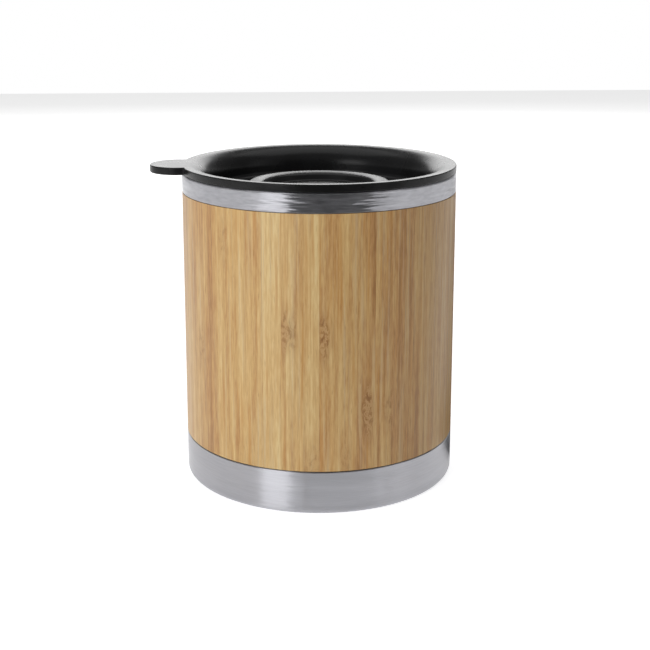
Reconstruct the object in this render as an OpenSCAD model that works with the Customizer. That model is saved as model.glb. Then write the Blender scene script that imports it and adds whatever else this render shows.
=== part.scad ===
// Bamboo cup: a steel liner hung inside a staved bamboo sleeve, with steel bands above and below
// and a press-in plastic lid. Millimetres. The cup stands on z = 0, its axis is Z, and the lid's
// thumb tab points along -X.

/* [Cup] */
// Outside diameter of the sleeve and of both steel bands
cup_d = 80; // [74:0.5:92]
// Height of the mouth, where the lid's flange rests
cup_h = 90.5; // [84:0.1:120]
// Height of the steel band at the foot
base_band_h = 12.5; // [10:0.1:18]
// Height of the steel band at the mouth
rim_band_h = 5.5; // [5:0.1:9]
// Wall of the pressed steel of both bands
sheet_t = 0.6; // [0.4:0.05:0.8]
// Outside radius where the foot band turns under
base_corner_r = 1.6; // [1:0.1:4]
// Radius of the pressed-up panel under the foot
foot_panel_r = 25; // [18:0.5:30]
// Rise of that panel above the surface the cup stands on
foot_panel_rise = 0.8; // [0.4:0.1:1.6]

/* [Bamboo sleeve] */
// Thickness of the bamboo staves
sleeve_t = 3.4; // [2.4:0.1:4.4]
// Width of one stave, measured round the outside
stave_w = 5.2; // [4:0.1:9]
// Glue line between neighbouring staves
stave_line = 0.04; // [0.02:0.01:0.1]
// Open line between the sleeve and the foot band
foot_line = 0.25; // [0.1:0.05:0.5]
// Open line between the sleeve and the mouth band
rim_line = 0.1; // [0.05:0.05:0.4]
// Depth of the steel spigots inside the sleeve
spigot_h = 6; // [4:0.25:9]
// Thickness of the glue between spigot and sleeve
glue_t = 0.25; // [0.15:0.05:0.4]

/* [Liner] */
// Wall of the drawn liner
liner_t = 0.5; // [0.4:0.05:0.7]
// Gap between the liner and the spigot round its mouth
liner_gap = 0.25; // [0.15:0.05:0.6]
// Height of the liner's floor, inside
liner_floor_z = 5.5; // [4:0.1:9]
// How far the liner draws in from its mouth to its floor
liner_draw_in = 2.2; // [0.5:0.1:4]
// Straight length at the mouth, which the lid's plug slides in
liner_straight_h = 16; // [14:0.5:24]
// Inside radius where the liner's wall meets its floor
liner_corner_r = 6; // [3:0.25:9]
// Radius of the turned-out lip
liner_lip_r = 1; // [0.8:0.05:1.4]
// Width of the lip that laps over the mouth band
liner_lap = 2.3; // [1.8:0.1:2.6]

/* [Lid] */
// Thickness of the lid's flange and of its tab
flange_t = 2.2; // [1.6:0.05:3]
// Flat width round the top of the flange
flange_flat = 1.5; // [0.8:0.1:2.5]
// Height over which the flange rolls down into the well
lip_h = 5.5; // [4:0.1:6.5]
// Radial gap between the plug and the liner
plug_gap = 0.8; // [0.6:0.05:1.1]
// Wall of the plug beside the well
plug_t = 1.2; // [0.9:0.05:1.6]
// Depth of the well's floor below the flange's top
well_depth = 8.6; // [7.6:0.1:10]
// How much the well narrows from its lip to its floor
well_draft = 0.5; // [0.2:0.05:0.8]
// Fillet between the well's wall and floor
well_fillet_r = 1.4; // [0.6:0.1:2]
// Thickness of the well's floor
floor_t = 1.5; // [1.1:0.05:2]
// Depth of the skirt's edge below the flange's seat
skirt_depth = 11.4; // [10.8:0.1:13]
// Outside radius of the raised ring in the well
ring_r = 20.6; // [17:0.2:21.5]
// Width of the raised ring's top
ring_w = 3.4; // [3:0.1:6]
// Depth of the raised ring's top below the flange's top
ring_depth = 5.6; // [4.8:0.1:6.4]
// Depth of the middle of the lid below the flange's top
middle_depth = 8; // [7:0.1:9]
// Reach of the thumb tab beyond the flange
tab_reach = 9.2; // [6:0.1:14]
// Width of the thumb tab
tab_w = 17; // [14:0.5:28]
// Corner radius of the thumb tab, seen from above
tab_corner_r = 8.25; // [5:0.25:10]

/* [Lid openings] */
// Length of the sip slot
sip_l = 14; // [10:0.5:18]
// Width of the sip slot
sip_w = 5; // [4.6:0.1:5.4]
// Distance of the sip slot from the cup's axis
sip_r = 26.9; // [26.2:0.1:27.4]
// Diameter of the vent hole
vent_d = 1.6; // [1:0.1:2.4]

/* [Seal] */
// Height of the seal's groove in the plug
groove_h = 3; // [2.4:0.1:3.4]
// Height of the skirt's edge below the groove
groove_foot = 1.2; // [0.9:0.1:1.6]
// Depth of the seal's groove
groove_depth = 1.4; // [1:0.05:1.5]
// Gap between the seal's fins and the liner
seal_gap = 0.05; // [0.03:0.01:0.1]
// How far the seal's body stands back from its fins
fin_depth = 0.6; // [0.3:0.05:0.7]

/* [Hidden] */

// Fine sizes that several pieces share
overrun = 1;        // how far a cutter runs past what it cuts
slip = 0.02;        // gap between parts of the cup that are glued, pressed or lapped together
seat_gap = 0.05;    // gap between the lid's flange and the mouth
groove_slip = 0.05; // gap between the seal and its groove
edge_r = 0.4;       // rounding of the lid's moulded edges
band_edge_r = 0.3;  // rounding of the bands where they meet the sleeve
band_top_r = 0.6;   // rounding of the mouth band's top edge
glue_setback = 0.5; // how far the glue in the foot line stays inside the surface
panel_slope_w = 1;  // width of the slope round the foot's panel
ring_edge_r = 1;    // rounding of the raised ring's edges
ring_fall = 0.3;    // how far the ring's top falls towards its inner edge
fin_h = 0.7;        // height of one fin of the seal
arc_steps = 6;      // straight pieces in a small quarter round
lip_steps = 14;     // straight pieces in the lid's lip
$fn = 96;

// Cup, from the outside in
cup_r = cup_d / 2;
sleeve_r = cup_r - sleeve_t;
spigot_r = sleeve_r - glue_t;
spigot_inner_r = spigot_r - sheet_t;
mouth_r = spigot_inner_r - liner_gap - liner_t;
rim_z = cup_h - rim_band_h;
sleeve_z = base_band_h + foot_line;
sleeve_top_z = rim_z - rim_line;
stave_count = round(PI * cup_d / stave_w);
lap_r = mouth_r + liner_lip_r + liner_lap;
liner_floor_r = mouth_r - liner_draw_in;

// Lid, from the top down
lid_z = cup_h + seat_gap;
lid_top = lid_z + flange_t;
plug_r = mouth_r - plug_gap;
well_r = plug_r - plug_t;
lip_w = cup_r - flange_flat - well_r;
well_z = lid_top - well_depth;
well_floor_r = well_r - well_draft;
floor_z = well_z - floor_t;
skirt_z = lid_z - skirt_depth;
groove_z = skirt_z + groove_foot;
groove_r = plug_r - groove_depth;
skirt_r = groove_r - plug_t;
seat_fillet_r = liner_lip_r + plug_gap / 2;
ring_z = lid_top - ring_depth;
middle_z = lid_top - middle_depth;
ring_inner_r = ring_r - ring_w;
ring_inner_z = ring_z - ring_fall;
fin_r = mouth_r - seal_gap;
tab_round_share = 0.98; // the most of the tab's half width that a corner may take
tab_round_r = min(tab_corner_r, tab_round_share * tab_w / 2);

// Points along an arc of an ellipse, from angle a0 to angle a1
function arc(x, z, rx, rz, a0, a1, steps = arc_steps) =
    [for (i = [0 : steps]) let (a = a0 + (a1 - a0) * i / steps) [x + rx * cos(a), z + rz * sin(a)]];

module turned(points) {
    rotate_extrude() polygon(points);
}

// Pressed steel cup at the foot, with a spigot that enters the sleeve
module base_shell() {
    color("silver")
    turned(concat(
        [[0, foot_panel_rise], [foot_panel_r, foot_panel_rise], [foot_panel_r + panel_slope_w, 0]],
        arc(cup_r - base_corner_r, base_corner_r, base_corner_r, base_corner_r, -90, 0),
        arc(cup_r - band_edge_r, base_band_h - band_edge_r, band_edge_r, band_edge_r, 0, 90),
        [[spigot_r, base_band_h], [spigot_r, base_band_h + spigot_h]],
        [[spigot_inner_r, base_band_h + spigot_h], [spigot_inner_r, base_band_h - sheet_t]],
        [[cup_r - sheet_t, base_band_h - sheet_t]],
        arc(cup_r - base_corner_r, base_corner_r, base_corner_r - sheet_t, base_corner_r - sheet_t, 0, -90),
        [[foot_panel_r + panel_slope_w, sheet_t], [foot_panel_r, foot_panel_rise + sheet_t]],
        [[0, foot_panel_rise + sheet_t]]
    ));
}

// Glue round the foot band's spigot, with the bead that shows in the line below the sleeve
module lower_glue() {
    color("dimgray")
    turned([
        [spigot_r + slip, base_band_h + slip],
        [cup_r - glue_setback, base_band_h + slip],
        [cup_r - glue_setback, sleeve_z - slip],
        [sleeve_r - slip, sleeve_z - slip],
        [sleeve_r - slip, base_band_h + spigot_h],
        [spigot_r + slip, base_band_h + spigot_h]
    ]);
}

// Glue round the mouth band's spigot
module upper_glue() {
    color("dimgray")
    turned([
        [spigot_r + slip, rim_z - spigot_h],
        [sleeve_r - slip, rim_z - spigot_h],
        [sleeve_r - slip, rim_z - slip],
        [spigot_r + slip, rim_z - slip]
    ]);
}

// One stave: flat sides and back, with the face turned round
module stave() {
    reach = cup_r + overrun;
    back_w = sleeve_r * tan(180 / stave_count) - stave_line / 2;
    face_w = reach * tan(180 / stave_count) - stave_line / 2;
    intersection() {
        linear_extrude(sleeve_top_z - sleeve_z)
            polygon([[sleeve_r, -back_w], [reach, -face_w], [reach, face_w], [sleeve_r, back_w]]);
        cylinder(h = sleeve_top_z - sleeve_z, r = cup_r);
    }
}

// Sleeve of staves glued edge to edge
module bamboo_sleeve() {
    color("burlywood")
    for (i = [0 : stave_count - 1])
        translate([0, 0, sleeve_z])
            rotate([0, 0, i * 360 / stave_count])
                stave();
}

// Pressed steel ring at the mouth: a spigot in the sleeve below, and a seat for the liner's lip above
module rim_band() {
    seat_z = cup_h - liner_t - slip;
    seat_r = lap_r + slip;
    color("silver")
    turned(concat(
        [[spigot_inner_r, rim_z - spigot_h], [spigot_r, rim_z - spigot_h], [spigot_r, rim_z]],
        arc(cup_r - band_edge_r, rim_z + band_edge_r, band_edge_r, band_edge_r, -90, 0),
        arc(cup_r - band_top_r, cup_h - band_top_r, band_top_r, band_top_r, 0, 90),
        [[seat_r, cup_h], [seat_r, seat_z], [mouth_r + liner_lip_r, seat_z]],
        [[mouth_r + liner_lip_r, seat_z - sheet_t], [seat_r + sheet_t, seat_z - sheet_t]],
        [[seat_r + sheet_t, cup_h - sheet_t - band_top_r / 2], [cup_r - sheet_t, cup_h - sheet_t - band_top_r / 2]],
        [[cup_r - sheet_t, rim_z + sheet_t], [spigot_inner_r, rim_z + sheet_t]]
    ));
}

// Drawn steel liner that holds the drink, hung by its lip
module liner() {
    straight_z = cup_h - liner_straight_h;
    corner_z = liner_floor_z + liner_corner_r;
    lip_z = cup_h - liner_lip_r;
    lip_x = mouth_r + liner_lip_r;
    color("gainsboro")
    turned(concat(
        [[0, liner_floor_z]],
        arc(liner_floor_r - liner_corner_r, corner_z, liner_corner_r, liner_corner_r, -90, 0),
        [[mouth_r, straight_z]],
        arc(lip_x, lip_z, liner_lip_r, liner_lip_r, 180, 90),
        [[lap_r, cup_h], [lap_r, cup_h - liner_t]],
        arc(lip_x, lip_z, liner_lip_r - liner_t, liner_lip_r - liner_t, 90, 180),
        [[mouth_r + liner_t, straight_z]],
        arc(liner_floor_r - liner_corner_r, corner_z, liner_corner_r + liner_t, liner_corner_r + liner_t, 0, -90),
        [[0, liner_floor_z - liner_t]]
    ));
}

// The lid's turned shape: flange, lip, well with its raised ring, and the grooved skirt
module lid_dish() {
    wall_z = lid_top - lip_h;
    turned(concat(
        [[0, middle_z], [ring_inner_r - ring_edge_r, middle_z]],
        arc(ring_inner_r + ring_edge_r, ring_inner_z - ring_edge_r, ring_edge_r, ring_edge_r, 180, 90),
        arc(ring_r - ring_edge_r, ring_z - ring_edge_r, ring_edge_r, ring_edge_r, 90, 0),
        [[ring_r + well_draft, well_z]],
        arc(well_floor_r - well_fillet_r, well_z + well_fillet_r, well_fillet_r, well_fillet_r, -90, 0),
        arc(cup_r - flange_flat, wall_z, lip_w, lip_h, 180, 90, lip_steps),
        arc(cup_r - edge_r, lid_top - edge_r, edge_r, edge_r, 90, 0),
        arc(cup_r - edge_r, lid_z + edge_r, edge_r, edge_r, 0, -90),
        arc(plug_r + seat_fillet_r, lid_z - seat_fillet_r, seat_fillet_r, seat_fillet_r, 90, 180),
        [[plug_r, groove_z + groove_h], [groove_r, groove_z + groove_h]],
        [[groove_r, groove_z], [plug_r, groove_z]],
        arc(plug_r - edge_r, skirt_z + edge_r, edge_r, edge_r, 0, -90),
        [[skirt_r, skirt_z], [skirt_r, floor_z], [ring_r, floor_z]],
        [[ring_r - floor_t, ring_z - floor_t], [ring_inner_r + floor_t, ring_inner_z - floor_t]],
        [[ring_inner_r, middle_z - floor_t], [0, middle_z - floor_t]]
    ));
}

// Thumb tab, level with the flange, kept out of the lip and the well
module tab() {
    corner_x = cup_r + tab_reach - tab_round_r;
    corner_y = tab_w / 2 - tab_round_r;
    translate([0, 0, lid_z])
        linear_extrude(flange_t)
            difference() {
                union() {
                    for (side = [-1, 1])
                        translate([-corner_x, side * corner_y]) circle(tab_round_r);
                    translate([-corner_x - tab_round_r, -corner_y]) square([tab_round_r, 2 * corner_y]);
                    translate([-corner_x, -tab_w / 2]) square([corner_x, tab_w]);
                }
                circle(cup_r - flange_flat / 2);
            }
}

// Rounded slot through the well's floor, to drink from
module sip_slot() {
    half_run = (sip_l - sip_w) / 2;
    translate([sip_r, 0, floor_z - overrun])
        linear_extrude(floor_t + 2 * overrun) {
            square([sip_w, 2 * half_run], center = true);
            for (side = [-1, 1])
                translate([0, side * half_run]) circle(d = sip_w);
        }
}

// Press-in lid with its thumb tab
module lid() {
    color("#202020")
    difference() {
        union() {
            lid_dish();
            tab();
        }
        sip_slot();
        translate([-sip_r, 0, floor_z - overrun])
            cylinder(h = floor_t + 2 * overrun, d = vent_d);
    }
}

// Ring seal in the plug's groove, with two fins that press on the liner
module lid_seal() {
    back_r = groove_r + groove_slip;
    body_r = fin_r - fin_depth;
    low_z = groove_z + groove_slip;
    high_z = groove_z + groove_h - groove_slip;
    color("#101010")
    turned([
        [back_r, low_z],
        [body_r, low_z],
        [fin_r, low_z + fin_h],
        [body_r, low_z + 1.5 * fin_h],
        [body_r, high_z - fin_h],
        [fin_r, high_z - fin_h / 2],
        [body_r, high_z],
        [back_r, high_z]
    ]);
}

base_shell();
lower_glue();
bamboo_sleeve();
upper_glue();
rim_band();
liner();
lid();
lid_seal();
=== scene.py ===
import bpy
import bmesh
import math
import random
from mathutils import Matrix, Vector


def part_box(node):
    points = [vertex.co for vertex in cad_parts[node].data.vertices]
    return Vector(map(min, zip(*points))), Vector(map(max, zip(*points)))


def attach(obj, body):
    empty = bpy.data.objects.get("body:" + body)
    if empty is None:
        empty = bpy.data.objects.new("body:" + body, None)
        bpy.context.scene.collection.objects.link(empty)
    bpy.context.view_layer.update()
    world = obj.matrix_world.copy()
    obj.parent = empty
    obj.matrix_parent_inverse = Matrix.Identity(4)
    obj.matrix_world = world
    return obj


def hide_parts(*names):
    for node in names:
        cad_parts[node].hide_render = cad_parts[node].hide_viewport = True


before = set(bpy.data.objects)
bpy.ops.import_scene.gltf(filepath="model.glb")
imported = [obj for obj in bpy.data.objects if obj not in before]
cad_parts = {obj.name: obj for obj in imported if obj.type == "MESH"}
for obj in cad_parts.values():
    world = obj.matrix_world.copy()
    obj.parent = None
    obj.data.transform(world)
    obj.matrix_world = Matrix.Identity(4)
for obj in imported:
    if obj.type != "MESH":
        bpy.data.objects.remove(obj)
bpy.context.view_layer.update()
print("frame loaded:", len(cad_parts), "nodes")

mm = 0.001
scene = bpy.context.scene


def linearColour(hexText):
    # sRGB hex to the linear values that shaders and lamps take
    channels = [int(hexText[i:i + 2], 16) / 255 for i in (1, 3, 5)]
    linear = [c / 12.92 if c <= 0.04045 else ((c + 0.055) / 1.055) ** 2.4 for c in channels]
    return (*linear, 1)


def perMm(size):
    # texture scale at which one feature is about this many millimetres long
    return 1 / (size * mm)


def addNode(tree, kind, settings=None, inputs=None):
    # a node with its settings; an input is a value or the socket that feeds it
    node = tree.nodes.new(kind)
    for key, value in (settings or {}).items():
        if key != "stops":
            setattr(node, key, value)
            continue
        for index, (position, tint) in enumerate(value):  # a ramp's two ends first, then the stops between
            stop = node.color_ramp.elements[index] if index < 2 else node.color_ramp.elements.new(position)
            stop.position = position
            stop.color = linearColour(tint)
    for key, value in (inputs or {}).items():
        if isinstance(value, bpy.types.NodeSocket):
            tree.links.new(value, node.inputs[key])
        else:
            node.inputs[key].default_value = value
    return node


def newMaterial(name):
    material = bpy.data.materials.new(name)
    material.use_nodes = True
    tree = material.node_tree
    return material, tree, tree.nodes["Principled BSDF"]


def setSockets(shader, values):
    for key, value in values.items():
        shader.inputs[key].default_value = value


# The camera stands where the photograph's outline and ellipses put it
cameraSetup = {
    "lens": 69.7,
    "sensor": 36,
    "distance": 364.7 * mm,
    "height": 147.5 * mm,
    "pitchDown": 12.55,
    "turn": -3.75,  # degrees round the cup, towards the tab
    "shift": (0.009, -0.115),
    "clip": (0.01, 50),
}


def makeCamera(setup):
    data = bpy.data.cameras.new("photoCamera")
    data.lens = setup["lens"]
    data.sensor_width = setup["sensor"]
    data.shift_x, data.shift_y = setup["shift"]
    data.clip_start, data.clip_end = setup["clip"]
    camera = bpy.data.objects.new("photoCamera", data)
    turn = math.radians(setup["turn"])
    distance = setup["distance"]
    camera.location = (math.sin(turn) * distance, -math.cos(turn) * distance, setup["height"])
    camera.rotation_euler = (math.radians(90 - setup["pitchDown"]), 0, turn)
    scene.collection.objects.link(camera)
    scene.camera = camera


makeCamera(cameraSetup)
print("camera set")


# Satin steel, brushed round the cup: fine level scratches stretch highlights up and down
steelTexture = {
    "clouds": (30, 3, 2, 0.5),  # length round the cup and height in millimetres, then detail and roughness
    "sway": (12, 0.55, 3, 0.6),
    "scratchDetail": (2, 0.5),  # detail and roughness alone
    "cloudShare": 0.5,
    "glossFrom": (0.45, 1.05),  # range of the scratches and clouds together
    "glossSpread": (-0.05, 0.06),  # what they add to a steel's own roughness
    "tintStops": (0.3, 0.7),
    "grooveStrength": 0.12,
    "grooveDepth": 0.05,
}


def brushedSteel(name, tints, scratch, roughness, wobble):
    material, tree, shader = newMaterial(name)
    setSockets(shader, {"Metallic": 1, "Anisotropic": 1, "Anisotropic Rotation": 0.25})
    place = addNode(tree, "ShaderNodeTexCoord").outputs["Object"]
    # a real scratch is finer, and is drawn as coarse as it needs to show
    sizes = {"scratches": (*scratch, *steelTexture["scratchDetail"]),
             "clouds": steelTexture["clouds"], "sway": steelTexture["sway"]}
    noise = {}
    for pattern, (length, height, detail, rough) in sizes.items():
        stretched = addNode(tree, "ShaderNodeMapping", None,
                            {"Vector": place, "Scale": (perMm(length), perMm(length), perMm(height))})
        streaks = addNode(tree, "ShaderNodeTexNoise", None,
                          {"Vector": stretched.outputs[0], "Scale": 1, "Detail": detail, "Roughness": rough})
        noise[pattern] = streaks.outputs["Fac"]
    mixed = addNode(tree, "ShaderNodeMath", {"operation": "MULTIPLY_ADD"},
                    {0: noise["clouds"], 1: steelTexture["cloudShare"], 2: noise["scratches"]})
    low, high = steelTexture["glossFrom"]
    glossiest, dullest = steelTexture["glossSpread"]
    gloss = addNode(tree, "ShaderNodeMapRange", None,
                    {"Value": mixed.outputs[0], "From Min": low, "From Max": high,
                     "To Min": roughness + glossiest, "To Max": roughness + dullest})
    colour = addNode(tree, "ShaderNodeValToRGB", {"stops": list(zip(steelTexture["tintStops"], tints))},
                     {"Fac": noise["scratches"]})
    # the brushing wanders, so the normal sways a little round the cup
    around = addNode(tree, "ShaderNodeTangent", {"direction_type": "RADIAL", "axis": "Z"})
    swing = addNode(tree, "ShaderNodeMapRange", {"clamp": False},
                    {"Value": noise["sway"], "To Min": -0.5 * wobble, "To Max": 0.5 * wobble})
    aside = addNode(tree, "ShaderNodeVectorMath", {"operation": "SCALE"},
                    {0: around.outputs["Tangent"], "Scale": swing.outputs[0]})
    facing = addNode(tree, "ShaderNodeNewGeometry").outputs["Normal"]
    turned = addNode(tree, "ShaderNodeVectorMath", {"operation": "ADD"}, {0: facing, 1: aside.outputs[0]})
    level = addNode(tree, "ShaderNodeVectorMath", {"operation": "NORMALIZE"}, {0: turned.outputs[0]})
    grooves = addNode(tree, "ShaderNodeBump", None,
                      {"Height": noise["scratches"], "Strength": steelTexture["grooveStrength"],
                       "Distance": steelTexture["grooveDepth"] * mm, "Normal": level.outputs[0]})
    tree.links.new(colour.outputs["Color"], shader.inputs["Base Color"])
    tree.links.new(gloss.outputs[0], shader.inputs["Roughness"])
    tree.links.new(grooves.outputs["Normal"], shader.inputs["Normal"])
    tree.links.new(around.outputs["Tangent"], shader.inputs["Tangent"])
    return material


# Laminated bamboo under a thin satin lacquer: long fibres, brown flecks, and knots where the stem had a joint
bambooLook = {
    "specular": 0.4,
    "coat": 0.25,
    "coatRoughness": 0.35,
    "roughness": (0.38, 0.54),
    "reliefStrength": 0.12,
    "reliefDepth": 0.05,
    "grains": {  # width and length of a streak in millimetres, detail, and a shift to another pattern
        "bands": (2.2, 70, 2, 0),
        "fibres": (1, 40, 3, 0),
        "threads": (0.45, 4.5, 2, 0),
        "flecks": (0.45, 5, 2, 11),
        "sap": (0.9, 45, 3, 23),
        "curls": (1.3, 3, 3, 0),
    },
    "grainRoughness": 0.6,
    "staveSpread": 40,  # how far apart the patterns of two staves lie in the noise
    "contrast": {"bands": 1.25, "fibres": 1, "threads": 0.85},
    "shades": [(0.05, "#A37443"), (0.98, "#DFC38A"), (0.3, "#BD8F58"), (0.55, "#CCA56A"), (0.8, "#D8B67B")],
    "knotSize": (2.6, 8.5),
    "knotEye": (0.2, 1),  # in knot sizes, where the swerving fades, and below it where the curls do
    "knotCore": (0.35, 0.95),
    "knotRagged": 1.8,
    "bendSize": (2.2, 4.5),  # the fibres swerve round a knot in such bends, and so far aside
    "swerve": 5,
    "curlTurns": 17,
    "layers": [  # pattern, its low and high value, the strength at each, what limits it, and the colour
        ("sap", 0.5, 0.72, 0, 0.62, None, "#C28A45"),
        ("sap", 0.3, 0.48, 0.5, 0, None, "#CDB68E"),
        ("flecks", 0.6, 0.78, 0, 0.45, None, "#A06C37"),
        ("edge", 0.1, 1.3, 0.9, 0, "depth", "#A0703F"),
        ("curlLines", -0.95, 0.1, 0.6, 0, "core", "#84592F"),
        ("curlLines", 0.3, 1, 0, 0.45, "core", "#DDB980"),
    ],
}


def laminatedBamboo(look):
    material, tree, shader = newMaterial("laminatedBambooSatinLacquer")
    setSockets(shader, {"Specular IOR Level": look["specular"], "Coat Weight": look["coat"],
                        "Coat Roughness": look["coatRoughness"]})
    # the sheet's coordinates are metres across the stave and metres up
    sheet = addNode(tree, "ShaderNodeUVMap", {"uv_map": "acrossAndUp"}).outputs["UV"]
    tone = addNode(tree, "ShaderNodeAttribute", {"attribute_name": "staveTone"}).outputs["Fac"]
    seed = addNode(tree, "ShaderNodeAttribute", {"attribute_name": "staveSeed"}).outputs["Fac"]
    knot = addNode(tree, "ShaderNodeAttribute", {"attribute_name": "staveKnot"}).outputs["Vector"]
    depth = addNode(tree, "ShaderNodeSeparateXYZ", None, {0: knot}).outputs["Z"]

    # distance from the stave's knot, 1 at its rim
    away = addNode(tree, "ShaderNodeVectorMath", {"operation": "SUBTRACT"}, {0: sheet, 1: knot})
    knotWide, knotTall = look["knotSize"]
    inKnots = addNode(tree, "ShaderNodeVectorMath", {"operation": "MULTIPLY"},
                      {0: away.outputs[0], 1: (perMm(knotWide), perMm(knotTall), 0)})
    reach = addNode(tree, "ShaderNodeVectorMath", {"operation": "LENGTH"}, {0: inKnots.outputs[0]})
    far = reach.outputs["Value"]
    eyeInner, eyeOuter = look["knotEye"]
    nearKnot = addNode(tree, "ShaderNodeMapRange", {"interpolation_type": "SMOOTHSTEP"},
                       {"Value": far, "From Min": eyeInner, "From Max": eyeOuter, "To Min": 1, "To Max": 0})
    eye = addNode(tree, "ShaderNodeMath", {"operation": "MULTIPLY"}, {0: nearKnot.outputs[0], 1: depth})

    # the fibres swerve there, and each stave has its own place in the noise
    bendWide, bendLong = look["bendSize"]
    loose = addNode(tree, "ShaderNodeMapping", None,
                    {"Vector": sheet, "Scale": (perMm(bendWide), perMm(bendLong), 1)})
    bends = addNode(tree, "ShaderNodeTexNoise", None, {"Vector": loose.outputs[0], "Scale": 1, "Detail": 1})
    aside = look["swerve"] / 2 * mm
    swing = addNode(tree, "ShaderNodeMapRange", None,
                    {"Value": bends.outputs["Fac"], "To Min": -aside, "To Max": aside})
    swerve = addNode(tree, "ShaderNodeMath", {"operation": "MULTIPLY"},
                     {0: swing.outputs[0], 1: eye.outputs[0]})
    offset = addNode(tree, "ShaderNodeCombineXYZ", None, {"X": swerve.outputs[0], "Y": seed, "Z": seed})
    grown = addNode(tree, "ShaderNodeVectorMath", {"operation": "ADD"}, {0: sheet, 1: offset.outputs[0]})

    grain = {}
    for name, (width, length, detail, shift) in look["grains"].items():
        stretched = addNode(tree, "ShaderNodeMapping", None,
                            {"Vector": grown.outputs[0], "Location": (shift, 0, 0),
                             "Scale": (perMm(width), perMm(length), look["staveSpread"])})
        streaks = addNode(tree, "ShaderNodeTexNoise", None,
                          {"Vector": stretched.outputs[0], "Scale": 1, "Detail": detail,
                           "Roughness": look["grainRoughness"]})
        grain[name] = streaks.outputs["Fac"]

    shade = tone
    for name, contrast in look["contrast"].items():
        uneven = addNode(tree, "ShaderNodeMath", {"operation": "SUBTRACT"}, {0: grain[name], 1: 0.5})
        shade = addNode(tree, "ShaderNodeMath", {"operation": "MULTIPLY_ADD"},
                        {0: uneven.outputs[0], 1: contrast, 2: shade}).outputs[0]
    wood = addNode(tree, "ShaderNodeValToRGB", {"stops": look["shades"]}, {"Fac": shade})

    # a knot's rim is ragged, and in its core the fibres curl into short dark and pale lines
    ragged = addNode(tree, "ShaderNodeMath", {"operation": "SUBTRACT"}, {0: grain["fibres"], 1: 0.5})
    edge = addNode(tree, "ShaderNodeMath", {"operation": "MULTIPLY_ADD"},
                   {0: ragged.outputs[0], 1: look["knotRagged"], 2: far}).outputs[0]
    coreInner, coreOuter = look["knotCore"]
    inside = addNode(tree, "ShaderNodeMapRange", {"interpolation_type": "SMOOTHSTEP"},
                     {"Value": edge, "From Min": coreInner, "From Max": coreOuter, "To Min": 1, "To Max": 0})
    core = addNode(tree, "ShaderNodeMath", {"operation": "MULTIPLY"}, {0: inside.outputs[0], 1: depth})
    rings = addNode(tree, "ShaderNodeMath", {"operation": "MULTIPLY"},
                    {0: grain["curls"], 1: look["curlTurns"]})
    curlLines = addNode(tree, "ShaderNodeMath", {"operation": "SINE"}, {0: rings.outputs[0]})

    # colours are laid over the wood in turn
    patterns = {**grain, "edge": edge, "depth": depth, "core": core.outputs[0],
                "curlLines": curlLines.outputs[0]}
    colour = wood.outputs["Color"]
    for pattern, low, high, atLow, atHigh, limit, tint in look["layers"]:
        amount = addNode(tree, "ShaderNodeMapRange", {"interpolation_type": "SMOOTHSTEP"},
                         {"Value": patterns[pattern], "From Min": low, "From Max": high,
                          "To Min": atLow, "To Max": atHigh})
        if limit:
            amount = addNode(tree, "ShaderNodeMath", {"operation": "MULTIPLY"},
                             {0: amount.outputs[0], 1: patterns[limit]})
        over = addNode(tree, "ShaderNodeMix", {"data_type": "RGBA"},
                       {0: amount.outputs[0], 6: colour, 7: linearColour(tint)})
        colour = over.outputs[2]

    glossiest, dullest = look["roughness"]
    gloss = addNode(tree, "ShaderNodeMapRange", None,
                    {"Value": grain["fibres"], "To Min": glossiest, "To Max": dullest})
    relief = addNode(tree, "ShaderNodeBump", None,
                     {"Height": grain["threads"], "Strength": look["reliefStrength"],
                      "Distance": look["reliefDepth"] * mm})
    tree.links.new(colour, shader.inputs["Base Color"])
    tree.links.new(gloss.outputs[0], shader.inputs["Roughness"])
    tree.links.new(relief.outputs["Normal"], shader.inputs["Normal"])
    return material


# Moulded polypropylene: black through and through, smooth, with a faint grain from the tool
polypropyleneLook = {
    "ior": 1.49,
    "specular": 0.2,
    "roughness": (0.25, 0.29),
    "tints": ("#171717", "#1E1E1F"),
    "toolGrain": 0.35,  # millimetres, as the haze
    "haze": 9,
    "hazeRange": (0.3, 0.7),
    "grainStrength": 0.06,
    "grainDepth": 0.02,
}


def mouldedPolypropylene(look):
    material, tree, shader = newMaterial("blackPolypropyleneMoulded")
    setSockets(shader, {"IOR": look["ior"], "Specular IOR Level": look["specular"]})
    place = addNode(tree, "ShaderNodeTexCoord").outputs["Object"]
    toolGrain = addNode(tree, "ShaderNodeTexNoise", None,
                        {"Vector": place, "Scale": perMm(look["toolGrain"]), "Detail": 2})
    haze = addNode(tree, "ShaderNodeTexNoise", None,
                   {"Vector": place, "Scale": perMm(look["haze"]), "Detail": 3}).outputs["Fac"]
    low, high = look["hazeRange"]
    glossiest, dullest = look["roughness"]
    gloss = addNode(tree, "ShaderNodeMapRange", None,
                    {"Value": haze, "From Min": low, "From Max": high,
                     "To Min": glossiest, "To Max": dullest})
    colour = addNode(tree, "ShaderNodeValToRGB", {"stops": list(zip(look["hazeRange"], look["tints"]))},
                     {"Fac": haze})
    relief = addNode(tree, "ShaderNodeBump", None,
                     {"Height": toolGrain.outputs["Fac"], "Strength": look["grainStrength"],
                      "Distance": look["grainDepth"] * mm})
    tree.links.new(colour.outputs["Color"], shader.inputs["Base Color"])
    tree.links.new(gloss.outputs[0], shader.inputs["Roughness"])
    tree.links.new(relief.outputs["Normal"], shader.inputs["Normal"])
    return material


# Cast silicone and cured epoxy: soft, dull and slightly uneven
softTexture = {
    "tintStops": (0.35, 0.65),
    "roughnessSpread": 0.06,
    "reliefStrength": 0.2,
    "reliefDepth": 0.05,
}


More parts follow.
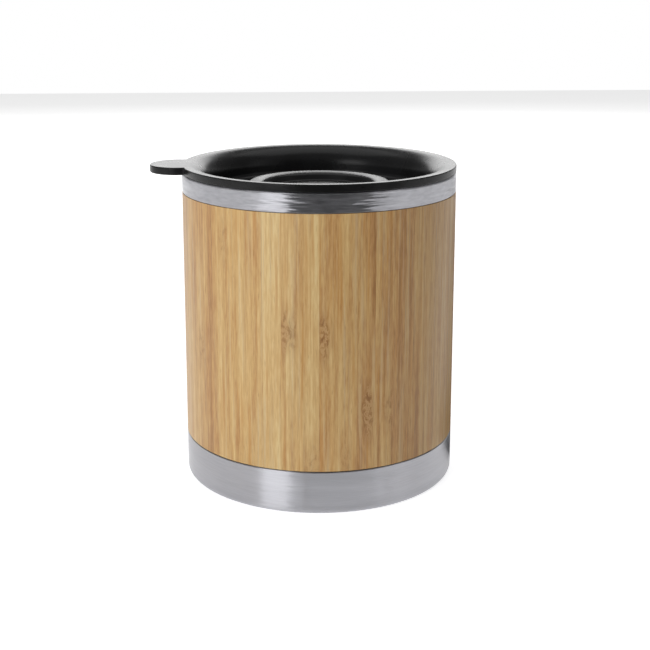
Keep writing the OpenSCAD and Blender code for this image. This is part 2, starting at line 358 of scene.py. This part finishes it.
def softPolymer(name, tints, roughness, mottleSize):
    material, tree, shader = newMaterial(name)
    place = addNode(tree, "ShaderNodeTexCoord").outputs["Object"]
    mottle = addNode(tree, "ShaderNodeTexNoise", None,
                     {"Vector": place, "Scale": perMm(mottleSize), "Detail": 3}).outputs["Fac"]
    colour = addNode(tree, "ShaderNodeValToRGB", {"stops": list(zip(softTexture["tintStops"], tints))},
                     {"Fac": mottle})
    spread = softTexture["roughnessSpread"]
    gloss = addNode(tree, "ShaderNodeMapRange", None,
                    {"Value": mottle, "To Min": roughness - spread, "To Max": roughness + spread})
    relief = addNode(tree, "ShaderNodeBump", None,
                     {"Height": mottle, "Strength": softTexture["reliefStrength"],
                      "Distance": softTexture["reliefDepth"] * mm})
    tree.links.new(colour.outputs["Color"], shader.inputs["Base Color"])
    tree.links.new(gloss.outputs[0], shader.inputs["Roughness"])
    tree.links.new(relief.outputs["Normal"], shader.inputs["Normal"])
    return material


# a scratch is given by its length and height in millimetres
mouthSteel = brushedSteel("stainlessSteelBrushedShort", tints=("#ACACB1", "#C5C5CA"), scratch=(3.5, 0.8),
                          roughness=0.36, wobble=0.75)
footSteel = brushedSteel("stainlessSteelBrushedLong", tints=("#B0B0B5", "#BCBCC1"), scratch=(8, 0.4),
                         roughness=0.36, wobble=0.18)
linerSteel = brushedSteel("stainlessSteelDrawnSatin", tints=("#A6A6A9", "#B8B8BB"), scratch=(24, 0.6),
                          roughness=0.42, wobble=0.1)
bamboo = laminatedBamboo(bambooLook)
lidPlastic = mouldedPolypropylene(polypropyleneLook)
sealSilicone = softPolymer("siliconeCastMatte", tints=("#121212", "#1A1A1A"), roughness=0.7, mottleSize=2)
jointEpoxy = softPolymer("epoxyCuredDark", tints=("#3A3531", "#5A534C"), roughness=0.6, mottleSize=1.2)
print("materials made")


# How finely the turned pieces are made
meshing = {
    "steps": 192,
    "beadSteps": 288,
    "lidSteps": 480,
    "cornerSteps": 4,  # in a rounding, and below it those that each millimetre adds
    "cornerStepsPerMm": 2.5,
    "sharpAngle": 32,
    "squareAngle": 80,  # past this, two faces meet in a square edge
    "weld": 0.001,
    "slack": 0.02,  # what is so near to a radius lies on it
}


def mergeAndFaceOut(bm):
    bmesh.ops.remove_doubles(bm, verts=bm.verts, dist=meshing["weld"] * mm)
    bmesh.ops.recalc_face_normals(bm, faces=bm.faces)


def vertsOf(geometry):
    return [g for g in geometry if isinstance(g, bmesh.types.BMVert)]


def turnProfile(points, steps, closed=False):
    # corners as (radius, height, rounding) in millimetres, turned once round the cup's axis
    bm = bmesh.new()
    chain = [bm.verts.new((radius * mm, 0, height * mm)) for radius, height, _ in points]
    following = chain[1:] + chain[:1] if closed else chain[1:]
    for pair in zip(chain, following):
        bm.edges.new(pair)
    for corner, (_, _, rounding) in zip(chain, points):
        if rounding:
            segments = meshing["cornerSteps"] + round(meshing["cornerStepsPerMm"] * rounding)
            bmesh.ops.bevel(bm, geom=[corner], offset=rounding * mm, offset_type="OFFSET", segments=segments,
                            profile=0.5, affect="VERTICES", material=-1)
    eighth = math.pi / 4
    bmesh.ops.spin(bm, geom=bm.verts[:] + bm.edges[:], cent=(0, 0, 0), axis=(0, 0, 1), dvec=(0, 0, 0),
                   angle=eighth, steps=steps // 8, use_merge=False, use_duplicate=False)
    for turn in (eighth, 2 * eighth, 4 * eighth):  # doubled to the whole turn, quicker than one spin
        copy = bmesh.ops.duplicate(bm, geom=bm.verts[:] + bm.edges[:] + bm.faces[:])["geom"]
        bmesh.ops.rotate(bm, verts=vertsOf(copy), cent=(0, 0, 0), matrix=Matrix.Rotation(turn, 3, "Z"))
    mergeAndFaceOut(bm)
    return bm


def meshObject(name, bm, material=None):
    mesh = bpy.data.meshes.new(name)
    bm.to_mesh(mesh)
    bm.free()
    if material:
        mesh.materials.append(material)
    made = bpy.data.objects.new(name, mesh)
    scene.collection.objects.link(made)
    return made


def makePiece(name, bm, body, node, material):
    piece = meshObject(name, bm, material)
    piece.data.shade_smooth()
    piece.data.set_sharp_from_angle(angle=math.radians(meshing["sharpAngle"]))
    weighted = piece.modifiers.new("flatFacesStayFlat", "WEIGHTED_NORMAL")
    weighted.keep_sharp = True
    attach(piece, body)
    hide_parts(node)
    return piece


def nodeSpan(node):
    # a CAD node's radius, foot and top, in millimetres
    low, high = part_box(node)
    return high.y / mm, low.z / mm, high.z / mm


# Gaps that the CAD solids keep where pieces are pressed or glued, and heights and radii that pieces share
fits = {
    "press": 0.02,
    "film": 0.2,  # the glue's thickness round a spigot, and below it the gap between them
    "filmGap": 0.03,
}
cupRadius, footZ, footSpigotTop = nodeSpan("base_shell")
sleeveRadius, sleeveFoot, sleeveTop = nodeSpan("bamboo_sleeve")
lapRadius, linerFoot, mouthTop = nodeSpan("liner")
_, mouthSpigotFoot, _ = nodeSpan("rim_band")
highGlueRadius, _, highGlueTop = nodeSpan("upper_glue")
lidFoot, lidTop = nodeSpan("lid")[1:]
footTop = nodeSpan("lower_glue")[1] - fits["press"]
bandFoot = highGlueTop + fits["press"]
filmRadius = highGlueRadius - fits["film"]
spigotRadius = filmRadius - fits["filmGap"]

# Foot band: one pressed cup with a turned corner, a raised middle and a spigot in the sleeve
footBand = {
    "sheet": 0.6,
    "corner": 1.6,
    "topEdge": 0.3,
    "panelRadius": 25,
    "panelRise": 0.8,
    "panelSlope": 1,
    "panelBend": 0.5,
    "fold": 0.2,
    "lip": 0.1,
}


def footProfile(shape):
    sheet, bend, fold, lip = shape["sheet"], shape["panelBend"], shape["fold"], shape["lip"]
    panel, rise = shape["panelRadius"], shape["panelRise"]
    slope = panel + shape["panelSlope"]
    return [
        (0, rise, 0),
        (panel, rise, bend),
        (slope, footZ, bend),
        (cupRadius, footZ, shape["corner"]),
        (cupRadius, footTop, shape["topEdge"]),
        (spigotRadius, footTop, fold),
        (spigotRadius, footSpigotTop, lip),
        (spigotRadius - sheet, footSpigotTop, lip),
        (spigotRadius - sheet, footTop - sheet, fold),
        (cupRadius - sheet, footTop - sheet, fold),
        (cupRadius - sheet, sheet, shape["corner"] - sheet),
        (slope, sheet, bend),
        (panel, rise + sheet, bend),
        (0, rise + sheet, 0),
    ]


makePiece("footBand", turnProfile(footProfile(footBand), meshing["steps"]), "cup", "base_shell",
          footSteel)

# Mouth band: a pressed ring between the sleeve and the liner's lip
mouthBand = {
    "sheet": 0.6,
    "lowEdge": 0.3,
    "topEdge": 0.6,
    "lipSeat": 0.55,
    "lipGap": 0.03,
    "seatReach": 36.2,
    "seatEdge": 0.05,
    "fold": 0.2,
    "innerFold": 0.3,
    "lip": 0.1,
}


def mouthProfile(shape):
    sheet, lip = shape["sheet"], shape["lip"]
    seatZ = mouthTop - shape["lipSeat"]
    seatRadius = lapRadius + shape["lipGap"]
    return [
        (spigotRadius - sheet, mouthSpigotFoot, lip),
        (spigotRadius, mouthSpigotFoot, lip),
        (spigotRadius, bandFoot, shape["fold"]),
        (cupRadius, bandFoot, shape["lowEdge"]),
        (cupRadius, mouthTop, shape["topEdge"]),
        (seatRadius, mouthTop, shape["seatEdge"]),
        (seatRadius, seatZ, shape["seatEdge"]),
        (shape["seatReach"], seatZ, lip),
        (shape["seatReach"], seatZ - sheet, lip),
        (cupRadius - sheet, seatZ - sheet, shape["innerFold"]),
        (cupRadius - sheet, bandFoot + sheet, shape["innerFold"]),
        (spigotRadius - sheet, bandFoot + sheet, shape["fold"]),
    ]


makePiece("mouthBand", turnProfile(mouthProfile(mouthBand), meshing["steps"], closed=True), "cup", "rim_band",
          mouthSteel)

# Liner: drawn cup with a rolled lip that laps over the mouth band
linerShape = {
    "wall": 0.5,
    "mouthRadius": 35,
    "floorRadius": 32.8,
    "straight": 16,
    "taperBend": 1,
    "floorCorner": 6,
    "lip": 1,
    "lapEdge": 0.15,
    "underEdge": 0.1,
}


def linerProfile(shape):
    wall, mouth, floor = shape["wall"], shape["mouthRadius"], shape["floorRadius"]
    corner, bend, lip = shape["floorCorner"], shape["taperBend"], shape["lip"]
    straightZ = mouthTop - shape["straight"]
    return [
        (0, linerFoot + wall, 0),
        (floor, linerFoot + wall, corner),
        (mouth, straightZ, bend),
        (mouth, mouthTop, lip),
        (lapRadius, mouthTop, shape["lapEdge"]),
        (lapRadius, mouthTop - wall, shape["underEdge"]),
        (mouth + wall, mouthTop - wall, lip - wall),
        (mouth + wall, straightZ, bend),
        (floor + wall, linerFoot, corner + wall),
        (0, linerFoot, 0),
    ]


makePiece("linerCup", turnProfile(linerProfile(linerShape), meshing["steps"]), "cup", "liner",
          linerSteel)
print("steel parts turned")

# Bamboo sleeve: staves glued edge to edge, each with its own tone, grain and perhaps a knot; the tones on the
# right also hold painted shade
sleeve = {
    "staves": 48,
    "wall": 3.4,
    "facets": 4,
    "arris": 0.02,
    # staves 39 to 42, on the side away from the light, are set darker: partly their own tone, partly painted
    # shade
    "tonesAndShade": {26: 0.47, 27: 0.5, 28: 0.46, 29: 0.35, 30: 0.6, 31: 0.58, 32: 0.57, 33: 0.83, 34: 0.57, 35: 0.7,
              36: 0.47, 37: 0.48, 38: 0.38, 39: 0.44, 40: 0.27, 41: 0.32, 42: 0.42, 43: 0.47, 44: 0.51},
    "knots": {36: (-1.2, 50.5, 1), 34: (-0.4, 52, 0.7), 38: (0.6, 29.5, 0.9), 30: (0.3, 75.5, 0.35),
              39: (2.2, 29.5, 0.4), 35: (0.8, 15, 0.5), 28: (0, 43.5, 0.4), 37: (-0.5, 16, 0.3)},
    "seed": 7,
    # what the staves that face away are drawn from
    "otherTones": (0.3, 0.75),
    "otherKnots": 0.3,  # share of the staves with a knot
    "otherKnotSide": 1.5,
    "otherKnotHeights": (20, 78),
    "otherKnotDepths": (0.4, 0.9),
    "seedRange": 30,
}


def oneStave(settings):
    # a flat slice of the sleeve on the +X axis, swept through one stave's angle
    step = 2 * math.pi / settings["staves"]
    inner = sleeveRadius - settings["wall"]
    bm = bmesh.new()
    ends = ((inner, sleeveFoot), (sleeveRadius, sleeveFoot), (sleeveRadius, sleeveTop), (inner, sleeveTop))
    side = bm.faces.new([bm.verts.new((radius * mm, 0, height * mm)) for radius, height in ends])
    bmesh.ops.rotate(bm, verts=bm.verts, cent=(0, 0, 0), matrix=Matrix.Rotation(-step / 2, 3, "Z"))
    bmesh.ops.spin(bm, geom=[side], cent=(0, 0, 0), axis=(0, 0, 1), dvec=(0, 0, 0), angle=step,
                   steps=settings["facets"], use_merge=False, use_duplicate=False)
    mergeAndFaceOut(bm)
    outer = (sleeveRadius - meshing["slack"]) * mm
    square = math.radians(meshing["squareAngle"])
    arris = [e for e in bm.edges if all(v.co.xy.length > outer for v in e.verts)
             and e.calc_face_angle() > square]
    bmesh.ops.bevel(bm, geom=arris, offset=settings["arris"] * mm, offset_type="OFFSET", segments=1,
                    profile=0.5, affect="EDGES", material=-1)
    return bm


def makeStaves(settings):
    chooser = random.Random(settings["seed"])
    bm = oneStave(settings)
    tonesAndShade = bm.faces.layers.float.new("staveTone")
    seeds = bm.faces.layers.float.new("staveSeed")
    knots = bm.faces.layers.float_vector.new("staveKnot")
    sheet = bm.loops.layers.uv.new("acrossAndUp")
    for face in bm.faces:
        for loop in face.loops:
            place = loop.vert.co
            loop[sheet].uv = (math.atan2(place.y, place.x) * sleeveRadius * mm, place.z)
    first = bm.verts[:] + bm.edges[:] + bm.faces[:]
    step = 2 * math.pi / settings["staves"]
    reach = settings["otherKnotSide"]
    for index in range(settings["staves"]):
        copy = bmesh.ops.duplicate(bm, geom=first)["geom"]
        bmesh.ops.rotate(bm, verts=vertsOf(copy), cent=(0, 0, 0),
                         matrix=Matrix.Rotation(index * step, 3, "Z"))
        tone = settings["tonesAndShade"].get(index, chooser.uniform(*settings["otherTones"]))
        seed = chooser.uniform(0, settings["seedRange"])
        knotted = chooser.random() < settings["otherKnots"]
        depth = chooser.uniform(*settings["otherKnotDepths"]) if knotted else 0
        side = chooser.uniform(-reach, reach)
        height = chooser.uniform(*settings["otherKnotHeights"])
        spare = (side, height, 0 if index in settings["tonesAndShade"] else depth)
        side, height, depth = settings["knots"].get(index, spare)
        for face in [g for g in copy if isinstance(g, bmesh.types.BMFace)]:
            face[tonesAndShade] = tone
            face[seeds] = seed
            face[knots] = (side * mm, height * mm, depth)
    bmesh.ops.delete(bm, geom=first, context="VERTS")
    return bm


makePiece("bambooStaves", makeStaves(sleeve), "cup", "bamboo_sleeve", bamboo)
print("staves made")

# Glue: squeezed out unevenly into the open lines above and below the sleeve
glueBeads = {
    "neckLength": 6,  # the film runs this far along the spigot
    "edge": 0.04,
    "wanderDepth": 0.2,
    "waves": ((3, 0.5), (7, 0.3), (17, 0.25), (31, 0.2)),  # bulges round the cup, and each one's share
    "low": {"setback": 0.25, "gap": 0.02, "phase": 0.4},
    "high": {"setback": 0.15, "gap": 0.01, "phase": 1.9},
}


def wander(angle, phase):
    # slow unevenness round a bead, from -1 to 1
    waves = glueBeads["waves"]
    whole = sum(share for _, share in waves)
    return sum(share * math.sin(count * angle + phase * count) for count, share in waves) / whole


def makeBead(bead, foot, top, neckFoot, neckTop):
    inner, neck = filmRadius, filmRadius + fits["film"]
    outer = cupRadius - bead["setback"]
    foot += bead["gap"]
    top -= bead["gap"]
    bm = turnProfile([
        (inner, neckFoot, 0),
        (neck, neckFoot, 0),
        (neck, foot, 0),
        (outer, foot, glueBeads["edge"]),
        (outer, top, glueBeads["edge"]),
        (neck, top, 0),
        (neck, neckTop, 0),
        (inner, neckTop, 0),
    ], meshing["beadSteps"], closed=True)
    depth = glueBeads["wanderDepth"]
    for vert in bm.verts:
        radius = math.hypot(vert.co.x, vert.co.y)
        if radius > (outer - depth) * mm:
            pull = depth * mm * (wander(math.atan2(vert.co.y, vert.co.x), bead["phase"]) - 1) / 2
            vert.co.xy *= (radius + pull) / radius
    return bm


lowBead = makeBead(glueBeads["low"], footTop, sleeveFoot, footTop + fits["filmGap"],
                   footTop + glueBeads["neckLength"])
makePiece("footGlue", lowBead, "cup", "lower_glue", jointEpoxy)
highBead = makeBead(glueBeads["high"], sleeveTop, bandFoot, bandFoot - glueBeads["neckLength"],
                    bandFoot - fits["filmGap"])
makePiece("mouthGlue", highBead, "cup", "upper_glue", jointEpoxy)
print("glue beads made")

# Lid: flange, rolled lip, well with a raised ring, grooved skirt and thumb tab in one moulding
lidShape = {
    "flange": 2.2,
    "flat": 1.3,
    "plugRadius": 34.2,
    "plugWall": 1.2,
    "plugRoot": 1.4,
    "wellDepth": 8.6,
    "wellDraft": 0.5,
    "wellCorner": 1.4,
    "floor": 1.5,
    "ringOuter": 20.6,
    "ringInner": 17.2,
    "ringDepth": 5.6,
    "ringCrest": (18.9, 0.12),  # where the crest bends, and how far it has fallen there
    "ringFall": 0.55,
    "ringSlope": 0.8,
    "middleDepth": 8,
    "grooveFoot": 1.2,
    "groove": (3, 1.4),
    "edge": 0.35,
    "edgeSteps": 4,
    "tabWidth": 17,
    "tabCorner": 8.25,
    "roundings": {
        "middleRim": 0.3,
        "crestInner": 0.6,
        "crest": 0.85,
        "crestOuter": 0.45,
        "ringFoot": 0.8,
        "grooveMouth": 0.1,
        "grooveFloor": 0.2,
        "skirtOuter": 0.4,
        "skirtInner": 0.3,
        "underWell": 0.8,
        "underRing": 0.5,
        "underCrest": 0.2,
        "underMiddle": 0.5,
    },
}


def tabOutline(share, halfAngle):
    # a point on the tab's edge, from its root at share 0, round the tip, to its other root at share 1
    half = lidShape["tabWidth"] / 2
    corner = lidShape["tabCorner"]
    reach = -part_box("lid")[0].x / mm
    rootX, rootY = cupRadius * math.cos(halfAngle), cupRadius * math.sin(halfAngle)
    side = reach - corner - rootX
    arc = math.pi / 2 * corner
    end = half - corner
    along = (0.5 - abs(share - 0.5)) * 2 * (side + arc + end)
    if along < side:
        x = rootX + along
        y = rootY + (half - rootY) * along / side
    elif along < side + arc:
        angle = (along - side) / corner
        x = reach - corner + corner * math.sin(angle)
        y = end + corner * math.cos(angle)
    else:
        x = reach
        y = side + arc + end - along
    return -x * mm, (y if share < 0.5 else -y) * mm


def lidProfile(shape):
    flangeFoot = lidTop - shape["flange"]
    wellFloor = lidTop - shape["wellDepth"]
    floorUnder = wellFloor - shape["floor"]
    ringTop = lidTop - shape["ringDepth"]
    ringLow = ringTop - shape["ringFall"]
    middle = lidTop - shape["middleDepth"]
    plug = shape["plugRadius"]
    wellRadius = plug - shape["plugWall"]
    lipRoll = cupRadius - shape["flat"] - wellRadius
    grooveHigh, grooveDeep = shape["groove"]
    grooveFoot = lidFoot + shape["grooveFoot"]
    grooveTop = grooveFoot + grooveHigh
    grooveRadius = plug - grooveDeep
    skirtRadius = grooveRadius - shape["plugWall"]
    ringOuter, ringInner = shape["ringOuter"], shape["ringInner"]
    ringCrest, crestFall = shape["ringCrest"]
    thick = shape["floor"]
    rounds = shape["roundings"]
    return [
        (0, middle, 0),
        (ringInner - shape["ringSlope"], middle, rounds["middleRim"]),
        (ringInner, ringLow, rounds["crestInner"]),
        (ringCrest, ringTop - crestFall, rounds["crest"]),
        (ringOuter, ringTop, rounds["crestOuter"]),
        (ringOuter + shape["wellDraft"], wellFloor, rounds["ringFoot"]),
        (wellRadius - shape["wellDraft"], wellFloor, shape["wellCorner"]),
        (wellRadius, lidTop, lipRoll),
        (cupRadius, lidTop, 0),
        (cupRadius, flangeFoot, 0),
        (plug, flangeFoot, shape["plugRoot"]),
        (plug, grooveTop, rounds["grooveMouth"]),
        (grooveRadius, grooveTop, rounds["grooveFloor"]),
        (grooveRadius, grooveFoot, rounds["grooveFloor"]),
        (plug, grooveFoot, rounds["grooveMouth"]),
        (plug, lidFoot, rounds["skirtOuter"]),
        (skirtRadius, lidFoot, rounds["skirtInner"]),
        (skirtRadius, floorUnder, rounds["underWell"]),
        (ringOuter, floorUnder, rounds["underRing"]),
        (ringOuter - thick, ringTop - thick, rounds["underCrest"]),
        (ringInner + thick, ringLow - thick, rounds["underCrest"]),
        (ringInner, middle - thick, rounds["underMiddle"]),
        (0, middle - thick, 0),
    ]


def makeLid(shape):
    steps = meshing["lidSteps"]
    bm = turnProfile(lidProfile(shape), steps)
    # the flange's rim is drawn out into the tab on the -X side
    column = 2 * math.pi / steps
    halfAngle = column * round(math.asin(shape["tabWidth"] / 2 / cupRadius) / column)
    outer = (cupRadius - meshing["slack"]) * mm
    rim = [f for f in bm.faces if f.calc_center_median().xy.length > outer
           and f.calc_center_median().x < -cupRadius * mm * math.cos(halfAngle)]
    rimEdges = list(dict.fromkeys(e for f in rim for e in f.edges))
    drawn = bmesh.ops.extrude_face_region(bm, geom=rim + rimEdges)["geom"]
    for vert in vertsOf(drawn):
        angle = math.atan2(vert.co.y, -vert.co.x)
        vert.co.x, vert.co.y = tabOutline((halfAngle - angle) / (2 * halfAngle), halfAngle)
    mergeAndFaceOut(bm)
    # both edges of the flange and the tab are rounded, and nothing inside them
    square = math.radians(meshing["squareAngle"])
    arris = [e for e in bm.edges if len(e.link_faces) == 2 and e.calc_face_angle() > square
             and min(v.co.xy.length for v in e.verts) > outer]
    bmesh.ops.bevel(bm, geom=arris, offset=shape["edge"] * mm, offset_type="OFFSET",
                    segments=shape["edgeSteps"], profile=0.5, affect="EDGES", material=-1, clamp_overlap=True)
    return bm


lidPiece = makePiece("lidWithTab", makeLid(lidShape), "lid", "lid", lidPlastic)


# The sip slot and the vent go through the well's floor
lidHoles = {
    "slotLength": 14,
    "slotWidth": 5,
    "slotRadius": 26.9,
    "slotSteps": 48,
    "vent": 1.6,
    "ventSteps": 32,
    "cutterBelow": 3,  # how far under the well's floor the cutter starts, and below it its height
    "cutterHeight": 4,
}


def makeCutter(holes):
    floorTop = lidTop - lidShape["wellDepth"]
    bm = bmesh.new()
    half = (holes["slotLength"] - holes["slotWidth"]) / 2
    for side in (-1, 1):
        place = Matrix.Translation((holes["slotRadius"] * mm, side * half * mm, 0))
        bmesh.ops.create_circle(bm, segments=holes["slotSteps"], radius=holes["slotWidth"] / 2 * mm,
                                matrix=place)
    bmesh.ops.convex_hull(bm, input=bm.verts)
    bmesh.ops.dissolve_limit(bm, angle_limit=0.01, verts=bm.verts, edges=bm.edges)
    inside = [v for v in bm.verts if not v.link_faces]
    bmesh.ops.delete(bm, geom=inside, context="VERTS")
    place = Matrix.Translation((-holes["slotRadius"] * mm, 0, 0))
    bmesh.ops.create_circle(bm, segments=holes["ventSteps"], radius=holes["vent"] / 2 * mm, matrix=place,
                            cap_ends=True)
    risen = bmesh.ops.extrude_face_region(bm, geom=bm.faces[:])["geom"]
    bmesh.ops.translate(bm, verts=vertsOf(risen), vec=(0, 0, holes["cutterHeight"] * mm))
    bmesh.ops.translate(bm, verts=bm.verts, vec=(0, 0, (floorTop - holes["cutterBelow"]) * mm))
    bmesh.ops.recalc_face_normals(bm, faces=bm.faces)
    return meshObject("holeCutter", bm)


def cutHoles(piece, holes):
    cutter = makeCutter(holes)
    cut = piece.modifiers.new("holes", "BOOLEAN")
    cut.operation = "DIFFERENCE"
    cut.solver = "EXACT"
    cut.object = cutter
    piece.modifiers.move(1, 0)
    shown = piece.evaluated_get(bpy.context.evaluated_depsgraph_get())
    whole = bpy.data.meshes.new_from_object(shown)
    piece.modifiers.remove(cut)
    piece.data = whole
    bpy.data.objects.remove(cutter)


cutHoles(lidPiece, lidHoles)

# Seal: silicone ring with two soft fins that press on the liner
sealShape = {
    "fin": 0.7,
    "finDepth": 0.6,
    "standOff": 0.05,  # from the groove's floor
    "round": 0.15,
    "finRoot": 0.1,
}


def sealProfile(shape):
    finRadius, foot, top = nodeSpan("lid_seal")
    back = lidShape["plugRadius"] - lidShape["groove"][1] + shape["standOff"]
    waist = finRadius - shape["finDepth"]
    fin, rounding = shape["fin"], shape["round"]
    return [
        (back, foot, rounding),
        (waist, foot, shape["finRoot"]),
        (finRadius, foot + fin, rounding),
        (waist, foot + 1.5 * fin, rounding),
        (waist, top - fin, rounding),
        (finRadius, top - fin / 2, rounding),
        (waist, top, shape["finRoot"]),
        (back, top, rounding),
    ]


makePiece("lidSeal", turnProfile(sealProfile(sealShape), meshing["steps"], closed=True), "seal", "lid_seal",
          sealSilicone)
print("lid and seal made")


# White table and surround, dimmer overhead, with cards that only reflections show: dark ones that paint dark
# reflections and the cup's shadow, glowing ones that paint highlights
studio = {
    "floorSize": 2.4,
    "paper": "#F0F0F0",
    "paperGlow": 0.65,
    "darkReflectionTint": "#0A0A0A",
    "ceiling": 0.23,
    "ceilingStarts": (0.03, 0.25),  # how far a ray points up where the dimming starts and ends
    "ambient": 0.4,  # share of the surround that lights dull surfaces
    "cardLift": 0.001,  # of a card's inner edge
    "darkReflectionCards": {  # corners in metres; the last number lifts the outer edge off the table. These paint dark reflections into the steel and the lid
        "front": ((-0.042, -0.1), (0.075, -0.1), (0.57, -0.66), (-0.34, -0.66), 0.5),
        "left": ((-0.3, -0.22), (-0.1, -0.22), (-0.2, -0.58), (-0.8, -0.58), 0.002),
        "right": ((0.22, -0.2), (0.45, -0.2), (1.1, -0.5), (0.5, -0.5), 0.002),
        # painted shadow: the cup's own shadow on the table, seen only as the foot band mirrors it
        "shade": ((0.043, 0), (0.07, 0), (0.35, 0.4), (0.1, 0.4), 0.002),
    },
    "highlightCards": {  # corners, lift and the glow in mirror rays; these cards are no lamps and light nothing, they paint highlights into the steel bands
        "left": ((-0.022, -0.038), (-0.008, -0.043), (-0.07, -0.229), (-0.182, -0.15), 0.002, 1.45),
        "middle": ((-0.006, -0.0435), (0.022, -0.04), (0.073, -0.099), (-0.025, -0.099), 0.001, 1.3),
    },
    "lampAim": (0, 0, 0.045),
    "lamps": {  # place, width and height, watts, and whether reflections show it
        "keyLeft": ((-0.52, -0.62, 0.33), (0.52, 0.6), 2.5, False),
        "shineLeft": ((-0.53, -0.63, 0.27), (0.36, 0.48), 1.4, True),
        "fillRight": ((0.85, -0.35, 0.4), (0.3, 0.6), 0.25, True),
        "overhead": ((0, 0.15, 1), (1.3, 0.9), 4.4, True),
        "backLow": ((0, 0.92, 0.25), (0.77, 0.16), 0.6, True),
        "backHigh": ((0, 0.87, 0.44), (0.77, 0.26), 2, True),
    },
}


def seenRays(tree):
    # camera, mirror and glass rays, which meet the background at its full white
    rays = addNode(tree, "ShaderNodeLightPath")
    seen = rays.outputs["Is Camera Ray"]
    for kind in ("Is Glossy Ray", "Is Transmission Ray"):
        both = addNode(tree, "ShaderNodeMath", {"operation": "MAXIMUM"}, {0: seen, 1: rays.outputs[kind]})
        seen = both.outputs[0]
    return seen


def studioFloor():
    material, tree, shader = newMaterial("whitePaperTable")
    setSockets(shader, {"Base Color": linearColour(studio["paper"]), "Roughness": 0.9,
                        "Specular IOR Level": 0.1})
    glow = addNode(tree, "ShaderNodeMath", {"operation": "MULTIPLY"},
                   {0: seenRays(tree), 1: studio["paperGlow"]})
    paper = addNode(tree, "ShaderNodeEmission", None, {"Color": (1, 1, 1, 1), "Strength": glow.outputs[0]})
    bright = addNode(tree, "ShaderNodeAddShader", None, {0: shader.outputs[0], 1: paper.outputs[0]})
    tree.links.new(bright.outputs[0], tree.nodes["Material Output"].inputs["Surface"])
    bm = bmesh.new()
    bmesh.ops.create_grid(bm, x_segments=8, y_segments=8, size=studio["floorSize"] / 2)
    meshObject("paperTable", bm, material)


def layCards(name, cards, material):
    bm = bmesh.new()
    for *outline, lift in cards:
        heights = (studio["cardLift"], studio["cardLift"], lift, lift)
        bm.faces.new([bm.verts.new((x, y, height)) for (x, y), height in zip(outline, heights)])
    card = meshObject(name, bm, material)
    # seen only in mirror rays, so a card paints a reflection and casts no shade
    card.visible_camera = False
    card.visible_diffuse = False
    card.visible_shadow = False


def studioCards():
    material, tree, shader = newMaterial("paintedDarkReflectionCard")
    setSockets(shader, {"Base Color": linearColour(studio["darkReflectionTint"]), "Roughness": 1, "Specular IOR Level": 0})
    layCards("darkReflectionCards", studio["darkReflectionCards"].values(), material)
    # glowing cards seen only in mirror rays: painted highlights in the steel, not lamps
    for side, (*card, glow) in studio["highlightCards"].items():
        material, tree, shader = newMaterial("paintedHighlightCard_" + side)
        setSockets(shader, {"Base Color": (0, 0, 0, 1), "Specular IOR Level": 0,
                            "Emission Color": (1, 1, 1, 1), "Emission Strength": glow})
        layCards("paintedHighlight_" + side, [card], material)


def studioWorld():
    world = bpy.data.worlds.new("studioWorld")
    scene.world = world
    world.use_nodes = True
    tree = world.node_tree
    toward = addNode(tree, "ShaderNodeTexCoord").outputs["Generated"]
    upward = addNode(tree, "ShaderNodeSeparateXYZ", None, {0: toward}).outputs["Z"]
    low, high = studio["ceilingStarts"]
    height = addNode(tree, "ShaderNodeMapRange", {"interpolation_type": "SMOOTHSTEP"},
                     {"Value": upward, "From Min": low, "From Max": high,
                      "To Min": 1, "To Max": studio["ceiling"]})
    share = addNode(tree, "ShaderNodeMapRange", None, {"Value": seenRays(tree), "To Min": studio["ambient"]})
    level = addNode(tree, "ShaderNodeMath", {"operation": "MULTIPLY"},
                    {0: height.outputs[0], 1: share.outputs[0]})
    surround = tree.nodes["Background"]
    surround.inputs["Color"].default_value = (1, 1, 1, 1)
    tree.links.new(level.outputs[0], surround.inputs["Strength"])


def softbox(name, place, size, watts, mirrored):
    data = bpy.data.lights.new(name, "AREA")
    data.shape = "RECTANGLE"
    data.size, data.size_y = size
    data.energy = watts
    lamp = bpy.data.objects.new(name, data)
    lamp.location = place
    lamp.rotation_euler = (Vector(studio["lampAim"]) - Vector(place)).to_track_quat("-Z", "Y").to_euler()
    lamp.visible_glossy = mirrored
    scene.collection.objects.link(lamp)


studioFloor()
studioCards()
studioWorld()
for lampName, lampSettings in studio["lamps"].items():
    softbox(lampName, *lampSettings)

scene.view_settings.view_transform = "Standard"
print("stage lit")
